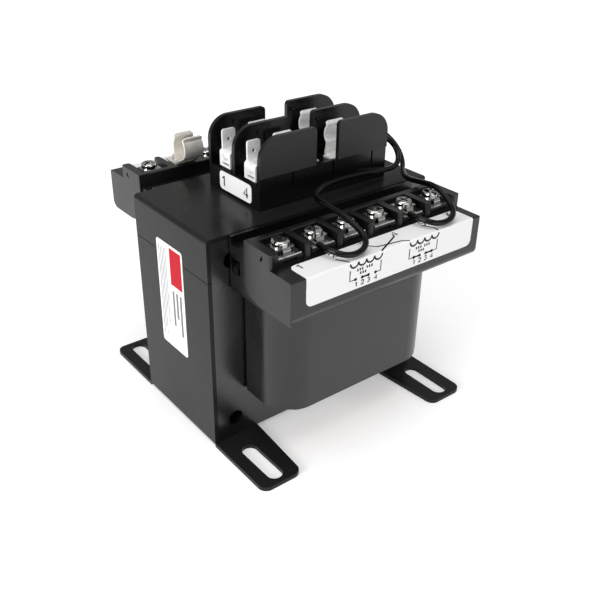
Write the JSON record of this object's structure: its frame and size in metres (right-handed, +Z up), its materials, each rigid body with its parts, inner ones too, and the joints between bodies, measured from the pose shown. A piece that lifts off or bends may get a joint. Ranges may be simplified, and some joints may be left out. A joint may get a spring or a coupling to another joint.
{
  "type": "laminated chassis transformer",
  "caption": "Chassis transformer with a laminated core, screw terminal blocks front and rear, a two-pole fuse holder on its cap and slotted mounting feet.",
  "frame": {"origin": "centre of the footprint on the mounting plane, which is the underside of the feet", "axes": "+X along the terminal strips to the right as seen from the side with the wiring label, which faces -Y; +Z up from the mounting plane"},
  "size_m": [0.1175, 0.1386, 0.1297],
  "materials": {
    "block_plastic": "moulded dark grey plastic",
    "bobbin_plastic": "moulded nylon",
    "clip_brass": "tin plate, slightly warm",
    "clip_tin": "bright tin plate",
    "core_black": "satin black varnish",
    "holder_plastic": "moulded black satin plastic",
    "insulation_paper": "insulating paper",
    "label_white": "white label stock",
    "lead_black": "black PVC",
    "receptacle_tin": "bright tin plate",
    "screw_zinc": "bright zinc plate",
    "sheet_black": "satin black paint",
    "strand_copper": "tinned copper strands",
    "terminal_tin": "tin plate",
    "washer_zinc": "bright zinc plate",
    "winding_copper": "varnished copper wire",
    "wrap_black": "varnished black coil paper"
  },
  "bodies": {
    "root": {"bobbin": "bobbin_plastic", "e_laminations": "core_black", "front_clamp_washers": "washer_zinc", "front_lead_outs": "lead_black", "front_terminal_1": "terminal_tin", "front_terminal_2": "terminal_tin", "front_terminal_3": "terminal_tin", "front_terminal_4": "terminal_tin", "front_terminal_5": "terminal_tin", "front_terminal_6": "terminal_tin", "front_terminal_block": "block_plastic", "front_terminal_screws": "screw_zinc", "front_wiring_label": "label_white", "fuse_clip_rivets": "clip_tin", "fuse_holder": "holder_plastic", "fuse_holder_label": "label_white", "fuse_holder_screws": "screw_zinc", "i_laminations": "core_black", "lead_a": "lead_black", "lead_b": "lead_black", "lead_ferrules": "strand_copper", "lead_receptacles": "receptacle_tin", "left_bracket": "sheet_black", "line_clip_1": "clip_tin", "line_clip_2": "clip_tin", "load_clip_1": "clip_tin", "load_clip_2": "clip_tin", "nameplate": "label_white", "outer_wrap": "wrap_black", "primary_winding": "winding_copper", "rear_clamp_washers": "washer_zinc", "rear_lead_outs": "lead_black", "rear_terminal_1": "terminal_tin", "rear_terminal_2": "terminal_tin", "rear_terminal_3": "terminal_tin", "rear_terminal_4": "terminal_tin", "rear_terminal_5": "terminal_tin", "rear_terminal_6": "terminal_tin", "rear_terminal_block": "block_plastic", "rear_terminal_screws": "screw_zinc", "rear_wiring_label": "label_white", "right_bracket": "sheet_black", "secondary_clip_1": "clip_brass", "secondary_clip_2": "clip_brass", "secondary_clip_screws": "screw_zinc", "secondary_winding": "winding_copper", "top_cap": "sheet_black", "winding_insulation": "insulation_paper"}
  },
  "joints": []
}
